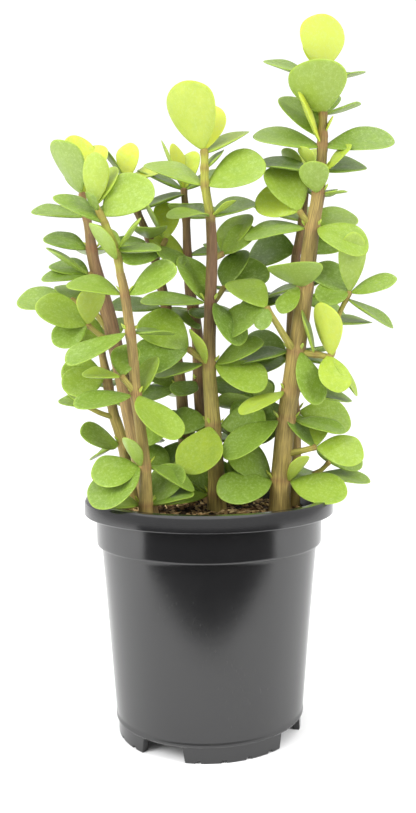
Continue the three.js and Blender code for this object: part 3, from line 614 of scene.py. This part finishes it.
def spin_profile(bm, profile, steps):
    """Turns a closed outline of (radius, height) points round the pot's axis."""
    verts = [bm.verts.new(place((r, 0, z))) for r, z in profile]
    edges = [bm.edges.new(pair) for pair in zip(verts, verts[1:])]
    bmesh.ops.spin(bm, geom=verts + edges, cent=AXIS, axis=(0, 0, 1), angle=2 * math.pi,
                   steps=steps, use_merge=True)


def add_foot(bm, heading):
    """One foot: a stretch of ring with sloping ends and small notches along its bottom."""
    profile = [(FOOT_INNER, 0), (FOOT_OUTER - 0.4, 0), (FOOT_OUTER, 0.5),
               (FOOT_OUTER, FOOT_HEIGHT + 0.2), (FOOT_INNER, FOOT_HEIGHT + 0.2)]
    foot = bmesh.new()
    verts = [foot.verts.new((r * MM, 0, z * MM)) for r, z in profile]
    section = foot.faces.new(verts)
    bmesh.ops.spin(foot, geom=[section, *section.edges, *verts], cent=(0, 0, 0), axis=(0, 0, 1),
                   angle=math.radians(FOOT_SPAN), steps=FOOT_STEPS)
    for vert in foot.verts:
        angle = math.degrees(math.atan2(vert.co.y, vert.co.x)) - FOOT_SPAN / 2
        drop = max(0, 1 - vert.co.z / (FOOT_HEIGHT * MM))
        if abs((angle + FOOT_SPAN) % NOTCH_PITCH - NOTCH_PITCH / 2) < NOTCH_HALF_WIDTH and drop > 0.9:
            vert.co.z += NOTCH_HEIGHT * MM
        vert.co.rotate(Matrix.Rotation(math.radians(heading + angle * (1 - FOOT_SLOPE * drop)
                                                    - angle - FOOT_SPAN / 2), 3, "Z"))
        vert.co += AXIS
    bmesh.ops.recalc_face_normals(foot, faces=foot.faces)
    made = bpy.data.meshes.new("foot")
    foot.to_mesh(made)
    foot.free()
    bm.from_mesh(made)
    bpy.data.meshes.remove(made)


def make_pot_wall(bm):
    """The wall and floor in one outline, with a rounded lip."""
    neck_inside = NECK_RADIUS - WALL
    spin_profile(bm, [
        (0, FOOT_HEIGHT), (FOOT_INNER, FOOT_HEIGHT), (FOOT_OUTER, FOOT_HEIGHT - 0.6),
        (BASE_RADIUS - 0.5, FOOT_HEIGHT - 0.5), (BASE_RADIUS, FOOT_HEIGHT + 0.2),
        (BASE_RADIUS, FOOT_HEIGHT + 1.2), (BASE_RADIUS - 0.25, FOOT_HEIGHT + 1.7),
        (BASE_RADIUS - 0.15, FOOT_HEIGHT + 3), (SHOULDER_RADIUS - 0.1, SHOULDER_HEIGHT - 2),
        (SHOULDER_RADIUS, SHOULDER_HEIGHT - 0.7), (SHOULDER_RADIUS + 0.1, SHOULDER_HEIGHT - 0.3),
        (NECK_RADIUS - 0.9, SHOULDER_HEIGHT - 0.1), (NECK_RADIUS - 0.5, SHOULDER_HEIGHT + 0.1),
        (NECK_RADIUS - 0.25, SHOULDER_HEIGHT + 0.5), (NECK_RADIUS - 0.2, SHOULDER_HEIGHT + 1.2),
        (NECK_RADIUS - 0.15, NECK_BOTTOM), (NECK_RADIUS, LIP_BOTTOM),
        (NECK_RADIUS, LIP_BOTTOM + 5.4), (RIM_RADIUS - WALL, LIP_BOTTOM + 5.4),
        (RIM_RADIUS - WALL, LIP_BOTTOM + 0.3), (RIM_RADIUS - WALL + 0.4, LIP_BOTTOM),
        (RIM_RADIUS - 0.4, LIP_BOTTOM), (RIM_RADIUS, LIP_BOTTOM + 0.4),
        (RIM_RADIUS - 0.1, RIM_TOP - 1.6), (RIM_RADIUS - 0.5, RIM_TOP - 0.6),
        (RIM_RADIUS - 1.3, RIM_TOP), (neck_inside + 2.2, RIM_TOP), (neck_inside + 0.9, RIM_TOP - 0.6),
        (neck_inside, RIM_TOP - 2), (neck_inside - 0.4, NECK_BOTTOM),
        (SHOULDER_RADIUS - WALL, SHOULDER_HEIGHT), (BASE_RADIUS - WALL, FOOT_HEIGHT + 2.2),
        (BASE_RADIUS - 2 * WALL, FOOT_HEIGHT + WALL), (0, FOOT_HEIGHT + WALL),
    ], 128)


def drilled_wall():
    """The wall and floor with the four drain holes drilled through, as a new mesh."""
    bm = bmesh.new()
    make_pot_wall(bm)
    bmesh.ops.remove_doubles(bm, verts=bm.verts, dist=0.00001)
    bmesh.ops.recalc_face_normals(bm, faces=bm.faces)
    wall = new_object("undrilled_wall", bm)
    bm = bmesh.new()
    for heading in DRAIN_HEADINGS:
        h = math.radians(heading)
        centre = place((DRAIN_CIRCLE * math.cos(h), DRAIN_CIRCLE * math.sin(h), FOOT_HEIGHT))
        bmesh.ops.create_cone(bm, cap_ends=True, segments=32, radius1=DRAIN_RADIUS * MM,
                              radius2=DRAIN_RADIUS * MM, depth=8 * MM, matrix=Matrix.Translation(centre))
    drill = new_object("drill", bm)
    cut = wall.modifiers.new("drains", "BOOLEAN")
    cut.object = drill
    cut.solver = "EXACT"
    drilled = bpy.data.meshes.new_from_object(wall.evaluated_get(bpy.context.evaluated_depsgraph_get()))
    bpy.data.objects.remove(wall)
    bpy.data.objects.remove(drill)
    return drilled


def make_pot():
    """The nursery pot: its drilled wall on four feet."""
    bm = bmesh.new()
    bm.from_mesh(drilled_wall())
    for heading in FOOT_HEADINGS:
        add_foot(bm, heading)
    pot = finish_piece(bm, "black_nursery_pot", "nursery_pot", [pot_finish])
    pot.data.set_sharp_from_angle(angle=math.radians(35))


# ---- potting mix ----------------------------------------------------------------------------------

def mix_height(x, y):
    """The height of the mix's lumpy surface."""
    crown = MIX_CROWN * min(1, (math.hypot(x, y) / MIX_RADIUS) ** 4)
    lumps = noise.noise(Vector((x, y, 0)) / 9) * 1.0 + noise.noise(Vector((x, y, 7)) / 3.2) * 0.7
    return MIX_TOP - 0.4 - crown + lumps


def mix_value(bm, verts, tone):
    layer = bm.verts.layers.float["tone"]
    for vert in verts:
        vert[layer] = tone


def add_bark_chip(bm, x, y):
    """A splinter or flake of bark lying on the mix."""
    length, width, depth = rng.uniform(1.8, 5.2), rng.uniform(0.7, 1.9), rng.uniform(0.4, 0.9)
    turn = (Matrix.Rotation(rng.uniform(0, math.pi), 4, "Z") @ Matrix.Rotation(rng.gauss(0, 0.3), 4, "Y")
            @ Matrix.Rotation(rng.gauss(0, 0.5), 4, "X"))
    made = bmesh.ops.create_cube(bm, size=1, matrix=Matrix.Diagonal((length, width, depth, 1)))
    centre = Vector((x, y, mix_height(x, y) + 0.5 * depth))
    for vert in made["verts"]:
        ragged = Vector((rng.uniform(-0.9, 0.9), rng.uniform(-0.3, 0.3), rng.uniform(-0.15, 0.15)))
        vert.co = place(centre + turn @ (vert.co + ragged))
    mix_value(bm, made["verts"], rng.uniform(0.25, 1))


def add_grain(bm, x, y):
    """A crumb of peat or grit."""
    size = rng.uniform(0.4, 1.3)
    made = bmesh.ops.create_icosphere(bm, subdivisions=1, radius=size)
    centre = Vector((x, y, mix_height(x, y) + 0.2 * size))
    squat = rng.uniform(0.5, 0.9)
    for vert in made["verts"]:
        uneven = 1 + rng.uniform(-0.25, 0.25)
        vert.co = place(centre + Vector((vert.co.x, vert.co.y, vert.co.z * squat)) * uneven)
    mix_value(bm, made["verts"], rng.uniform(0, 0.35))


def add_fibre(bm, x, y):
    """A thin fibre, a little bent, lying on the mix."""
    length, bend = rng.uniform(4, 10), rng.uniform(-1.5, 1.5)
    turn = Matrix.Rotation(rng.uniform(0, 2 * math.pi), 3, "Z")

    def fibre_point(vert, reach, angle):
        across = bend * (1 - (2 * reach - 1) ** 2) + 0.18 * math.cos(angle)
        flat = Vector((x, y, 0)) + turn @ Vector(((reach - 0.5) * length, across, 0))
        if flat.length > MIX_RADIUS - 1:
            flat = flat.normalized() * (MIX_RADIUS - 1)
        return place((flat.x, flat.y, mix_height(flat.x, flat.y) + 0.9 + 0.18 * math.sin(angle)))

    mix_value(bm, make_tube(bm, 4, 6, fibre_point)[0], rng.uniform(0.5, 1))


def make_mix():
    """The potting mix: a lumpy body covered with crumbs, bark chips and fibres."""
    bm = bmesh.new()
    bm.verts.layers.float.new("tone")
    floor = FOOT_HEIGHT + WALL + 0.3
    rings = [(MIX_RADIUS * (1 - k / 24), MIX_TOP) for k in range(25)]
    spin_profile(bm, [
        (0, floor), (BASE_RADIUS - 2 * WALL - 0.3, floor), (BASE_RADIUS - WALL - 0.3, floor + 1.5),
        (SHOULDER_RADIUS - WALL - 0.3, SHOULDER_HEIGHT), (MIX_RADIUS - 0.1, NECK_BOTTOM), *rings], 96)
    bmesh.ops.remove_doubles(bm, verts=bm.verts, dist=0.00001)
    bmesh.ops.recalc_face_normals(bm, faces=bm.faces)
    for vert in bm.verts:
        x, y, z = (vert.co - AXIS) / MM
        if z > MIX_TOP - 1:
            vert.co = place((x, y, mix_height(x, y)))
    mix_value(bm, list(bm.verts), 0.1)
    for add, count in ((add_grain, 1500), (add_bark_chip, 620), (add_fibre, 90)):
        for _ in range(count):
            reach = (MIX_RADIUS - 2.5) * math.sqrt(rng.random())
            angle = rng.uniform(0, 2 * math.pi)
            add(bm, reach * math.cos(angle), reach * math.sin(angle))
    piece = finish_piece(bm, "bark_potting_mix", "potting_mix", [mix_finish])
    piece.data.shade_flat()


# ---- finishes -------------------------------------------------------------------------------------

class Finish:
    """A material on the Principled shader, with short calls for its pattern nodes."""

    def __init__(self, name, **sockets):
        self.material = bpy.data.materials.new(name)
        self.material.use_nodes = True
        self.tree = self.material.node_tree
        self.shader = self.tree.nodes["Principled BSDF"]
        for socket, value in sockets.items():
            self.shader.inputs[socket.replace("_", " ")].default_value = value

    def node(self, kind, **settings):
        node = self.tree.nodes.new(kind)
        for name, value in settings.items():
            setattr(node, name, value)
        return node

    def feed(self, socket, value):
        """Links an output to a socket, or sets the socket to a plain value."""
        if isinstance(value, bpy.types.NodeSocket):
            self.tree.links.new(value, socket)
        else:
            socket.default_value = value

    def own(self, name, output="Fac"):
        """One of the values noted on the mesh."""
        return self.node("ShaderNodeAttribute", attribute_name=name).outputs[output]

    def spot(self):
        """The point on the object, in metres."""
        return self.node("ShaderNodeTexCoord").outputs["Object"]

    def math(self, operation, *values):
        node = self.node("ShaderNodeMath", operation=operation)
        for socket, value in zip(node.inputs, values):
            self.feed(socket, value)
        return node.outputs[0]

    def cloud(self, where, scale, detail=3, roughness=0.5):
        """Soft random blotches, from 0 to 1."""
        node = self.node("ShaderNodeTexNoise")
        self.feed(node.inputs["Vector"], where)
        node.inputs["Scale"].default_value = scale
        node.inputs["Detail"].default_value = detail
        node.inputs["Roughness"].default_value = roughness
        return node.outputs["Fac"]

    def stretch(self, where, scale):
        node = self.node("ShaderNodeMapping")
        self.feed(node.inputs["Vector"], where)
        node.inputs["Scale"].default_value = scale
        return node.outputs["Vector"]

    def band(self, value, low, high, out_low=0.0, out_high=1.0):
        """Maps a value from one range to another, and holds it there."""
        node = self.node("ShaderNodeMapRange", interpolation_type="SMOOTHSTEP")
        for name, given in (("Value", value), ("From Min", low), ("From Max", high),
                            ("To Min", out_low), ("To Max", out_high)):
            self.feed(node.inputs[name], given)
        return node.outputs["Result"]

    def blend(self, share, first, second, kind="MIX"):
        """Mixes two colours by a share."""
        node = self.node("ShaderNodeMix", data_type="RGBA", blend_type=kind)
        for index, value in ((0, share), (6, first), (7, second)):
            self.feed(node.inputs[index], (*value, 1) if isinstance(value, tuple) else value)
        return node.outputs[2]

    def ramp(self, value, *stops):
        """A run of colours, each with its place."""
        node = self.node("ShaderNodeValToRGB")
        elements = node.color_ramp.elements
        while len(elements) < len(stops):
            elements.new(1)
        for element, (position, colour) in zip(elements, stops):
            element.position = position
            element.color = (*colour, 1)
        self.feed(node.inputs["Fac"], value)
        return node.outputs["Color"]

    def bump(self, height, distance, strength=1.0):
        """Raises the surface by a pattern; distance is in millimetres."""
        node = self.node("ShaderNodeBump")
        node.inputs["Strength"].default_value = strength
        node.inputs["Distance"].default_value = distance * MM
        self.feed(node.inputs["Height"], height)
        self.feed(self.shader.inputs["Normal"], node.outputs["Normal"])

    def finish(self, colour, roughness):
        self.feed(self.shader.inputs["Base Color"], colour)
        self.feed(self.shader.inputs["Roughness"], roughness)
        return self.material


def make_leaf_finish():
    """Fleshy satin leaf: darker when old, yellow-green when new, with a pale rim and waxy bloom."""
    f = Finish("fleshy_leaf", Subsurface_Weight=0.14, Subsurface_Radius=(0.8, 1.0, 0.15),
               Subsurface_Scale=0.002, Specular_IOR_Level=0.5)
    youth, rim, under, chance = f.own("youth"), f.own("rim"), f.own("under"), f.own("chance")
    grain = f.own("grain", "Vector")
    blotches = f.cloud(grain, 0.22, 4, 0.6)
    age = f.math("ADD", youth, f.math("MULTIPLY", f.math("SUBTRACT", chance, 0.5), 0.2))
    age = f.math("ADD", age, f.math("MULTIPLY", f.math("SUBTRACT", blotches, 0.5), 0.3))
    flesh = f.ramp(age, (0.0, (0.095, 0.165, 0.016)), (0.35, (0.16, 0.255, 0.022)),
                   (0.6, (0.235, 0.335, 0.028)), (0.8, (0.35, 0.44, 0.03)), (1.0, (0.52, 0.57, 0.05)))
    beneath = f.blend(f.math("MULTIPLY", under, 0.4), flesh, (0.26, 0.34, 0.09))
    bloom = f.band(f.cloud(grain, 0.7, 6, 0.75), 0.46, 0.66, 0.0, 0.3)
    waxy = f.blend(bloom, beneath, (0.40, 0.50, 0.20))
    dots = f.node("ShaderNodeTexVoronoi")
    f.feed(dots.inputs["Vector"], grain)
    dots.inputs["Scale"].default_value = 1.5
    speck = f.band(dots.outputs["Distance"], 0.1, 0.2, 0.45, 0.0)
    speckled = f.blend(speck, waxy, (0.52, 0.62, 0.30))
    edge = f.band(rim, 0.94, 1.0, 0.0, 0.4)
    edged = f.blend(edge, speckled, (0.34, 0.46, 0.06))
    roughness = f.band(blotches, 0.3, 0.7, 0.36, 0.5)
    f.bump(f.cloud(grain, 1.3, 5, 0.7), 0.16, 0.6)
    return f.finish(edged, roughness)


def make_bark_finish():
    """Young bark: olive-tan to purple-brown, green near the tips, red-brown at its rings, with painted
    shade that makes it darker and more purple-brown on each stem's right side.
    """
    f = Finish("young_bark", Subsurface_Weight=0.05, Subsurface_Radius=(0.6, 0.4, 0.2),
               Subsurface_Scale=0.001, Specular_IOR_Level=0.4)
    grain = f.own("grain", "Vector")
    streaks = f.cloud(f.stretch(grain, (1, 1, 0.5)), 8.0, 6, 0.6)
    patches = f.cloud(f.stretch(grain, (1, 1, 3)), 1.6, 3, 0.5)
    shift = f.math("MULTIPLY", f.math("SUBTRACT", patches, 0.5), 0.7)
    # the purple value is the bark's own purple plus painted shade, higher on each stem's right side and
    # lower on its left
    purple = f.band(f.math("ADD", f.own("purple"), shift), 0.0, 1.0)
    wood = f.blend(purple, (0.38, 0.275, 0.095), (0.165, 0.098, 0.055))
    fresh = f.blend(f.own("green"), wood, (0.36, 0.40, 0.06))
    ringed = f.blend(f.math("MULTIPLY", f.own("ring"), 0.55), fresh, (0.22, 0.10, 0.05))
    shade = f.ramp(streaks, (0.32, (0.5, 0.46, 0.42)), (0.5, (0.9, 0.88, 0.86)),
                   (0.68, (1.35, 1.32, 1.25)))
    streaked = f.blend(0.9, ringed, shade, "MULTIPLY")
    f.bump(f.math("ADD", streaks, f.math("MULTIPLY", patches, 0.5)), 0.5, 0.9)
    return f.finish(streaked, f.band(streaks, 0.3, 0.7, 0.42, 0.68))


def make_pot_finish():
    """Black moulded plastic with a soft sheen, dusted and a little scuffed."""
    f = Finish("dusty_black_plastic", Specular_IOR_Level=1.0, IOR=1.4)
    spot = f.spot()
    smudges = f.cloud(spot, 28, 4, 0.6)
    scuffs = f.cloud(f.stretch(spot, (1, 1, 0.3)), 1800, 4, 0.7)
    dust = f.cloud(spot, 2600, 2, 0.5)
    film = f.math("MULTIPLY", f.band(scuffs, 0.58, 0.72), f.band(smudges, 0.45, 0.65, 0.02, 0.16))
    flecks = f.math("MULTIPLY", f.band(dust, 0.74, 0.8), 0.3)
    worn = f.math("MAXIMUM", film, flecks)
    colour = f.blend(worn, (0.007, 0.007, 0.0075), (0.16, 0.155, 0.14))
    roughness = f.math("ADD", f.band(smudges, 0.3, 0.7, 0.17, 0.23), f.math("MULTIPLY", worn, 0.35))
    f.bump(f.math("ADD", f.cloud(spot, 420, 3, 0.5), f.math("MULTIPLY", scuffs, 0.3)), 0.03, 0.4)
    return f.finish(colour, roughness)


def make_mix_finish():
    """Dark crumbs, and bark chips from brown to golden tan."""
    f = Finish("bark_mix", Specular_IOR_Level=0.25)
    spot = f.spot()
    fibres = f.cloud(f.stretch(spot, (1, 2.5, 2.5)), 900, 4, 0.7)
    tone = f.math("ADD", f.own("tone"), f.math("MULTIPLY", f.math("SUBTRACT", fibres, 0.5), 0.5))
    colour = f.ramp(tone, (0.0, (0.016, 0.011, 0.007)), (0.3, (0.08, 0.047, 0.022)),
                    (0.6, (0.32, 0.19, 0.075)), (0.9, (0.62, 0.45, 0.22)))
    f.bump(fibres, 0.2, 0.8)
    return f.finish(colour, f.band(fibres, 0.3, 0.7, 0.75, 0.95))


def make_plain_finish(name, colour, roughness):
    f = Finish(name)
    mottle = f.cloud(f.spot(), 3, 2)
    return f.finish(f.blend(mottle, colour, tuple(c * 0.98 for c in colour)), roughness)


# ---- studio ---------------------------------------------------------------------------------------

def add_sheet(name, low, high, height, finish):
    """A flat sheet of the studio, not part of the object."""
    bm = bmesh.new()
    centre = Vector(((low[0] + high[0]) / 2, (low[1] + high[1]) / 2, height))
    size = Matrix.Diagonal(((high[0] - low[0]) / 2, (high[1] - low[1]) / 2, 1, 1))
    bmesh.ops.create_grid(bm, x_segments=1, y_segments=1, size=1,
                          matrix=Matrix.Translation(centre) @ size)
    new_object(name, bm, [finish])


def add_dark_cloth():
    """A dark fan on the table that only gloss shows. Its near edge curves away from the pot."""
    bm = bmesh.new()
    turn = Matrix.Rotation(math.radians(CLOTH_START), 3, "Z")
    ends = [bm.verts.new(AXIS + turn @ Vector((reach, 0, 0.0004))) for reach in (CLOTH_NEAR, CLOTH_FAR)]
    edge = bm.edges.new(ends)
    bmesh.ops.spin(bm, geom=[*ends, edge], cent=AXIS, axis=(0, 0, 1), angle=math.radians(CLOTH_SPAN),
                   steps=42)
    for vert in bm.verts:
        spoke = vert.co - AXIS
        if spoke.length < 1:
            aside = math.atan2(spoke.x, -spoke.y) - math.radians(CLOTH_SPAN / 2 + CLOTH_START + 90)
            vert.co = AXIS + spoke * (1 + CLOTH_FLARE * aside * aside)
    cloth = new_object("dark_cloth", bm, [make_plain_finish("dark_cloth", (0.02, 0.02, 0.02), 0.9)])
    for ray in ("camera", "diffuse", "transmission", "volume_scatter", "shadow"):
        setattr(cloth, "visible_" + ray, False)


def add_soft_light(name, location, target, size, power):
    data = bpy.data.lights.new(name, "AREA")
    data.shape = "DISK"
    data.size = size
    data.energy = power
    light = bpy.data.objects.new(name, data)
    light.location = location
    light.rotation_euler = (Vector(target) - Vector(location)).to_track_quat("-Z", "Y").to_euler()
    light.visible_glossy = False
    bpy.context.scene.collection.objects.link(light)


def make_white_sky():
    """White to look at, and dimmer as a light, so that the leaves shade each other."""
    world = bpy.data.worlds.new("white_sky")
    world.use_nodes = True
    tree = world.node_tree
    seen = tree.nodes.new("ShaderNodeLightPath").outputs["Is Camera Ray"]
    strength = tree.nodes.new("ShaderNodeMapRange")
    strength.inputs["To Min"].default_value = 0.78
    strength.inputs["To Max"].default_value = 1.12
    tree.links.new(seen, strength.inputs["Value"])
    tree.links.new(strength.outputs["Result"], tree.nodes["Background"].inputs["Strength"])
    tree.nodes["Background"].inputs["Color"].default_value = (1, 1, 1, 1)
    bpy.context.scene.world = world


def make_studio():
    """A white floor and sky, a wide overhead light, two soft ones and the dark cloth."""
    white = make_plain_finish("white_floor", (0.93, 0.93, 0.93), 0.8)
    add_sheet("studio_floor", (-6, -6), (6, 6), 0, white)
    add_dark_cloth()
    make_white_sky()
    data = bpy.data.lights.new("overhead_light", "SUN")
    data.angle = math.radians(80)
    data.energy = 1.9
    light = bpy.data.objects.new("overhead_light", data)
    light.rotation_euler = Vector((0.1, 0.22, -1)).to_track_quat("-Z", "Y").to_euler()
    bpy.context.scene.collection.objects.link(light)
    add_soft_light("left_softbox", (-0.75, -0.5, 0.6), (0, 0, 0.25), 0.6, 11)
    add_soft_light("right_softbox", (0.8, -0.4, 0.6), (0, 0, 0.25), 0.6, 8)


def make_camera():
    """Stands 412 mm in front of the pot and a little to its right, looking straight back and down."""
    data = bpy.data.cameras.new("front_camera")
    data.sensor_fit = "VERTICAL"
    data.sensor_height = 36
    data.lens = 37.64
    data.shift_x = -0.0577
    data.clip_start = 0.01
    camera = bpy.data.objects.new("front_camera", data)
    turn = Matrix.Rotation(math.radians(90 - 3), 4, "X")
    camera.matrix_world = Matrix.Translation(place((22, -412, 178))) @ turn
    bpy.context.scene.collection.objects.link(camera)
    bpy.context.scene.camera = camera


# ---- everything -----------------------------------------------------------------------------------

make_camera()
leaf_finish = make_leaf_finish()
bark_finish = make_bark_finish()
pot_finish = make_pot_finish()
mix_finish = make_mix_finish()

make_pot()
make_mix()
for plant in PLANT:
    for path in [plant["wood"], *(shoot["path"] for shoot in plant["shoots"])]:
        path[:] = [stand(point) for point in path]
    make_stem(plant)
    for number, shoot in enumerate(plant["shoots"]):
        make_shoot(plant, number, shoot)
    for number, pair in enumerate(plant["pairs"], 1):
        make_pair(plant, number, pair)
make_studio()
bpy.context.scene.view_settings.view_transform = "Standard"
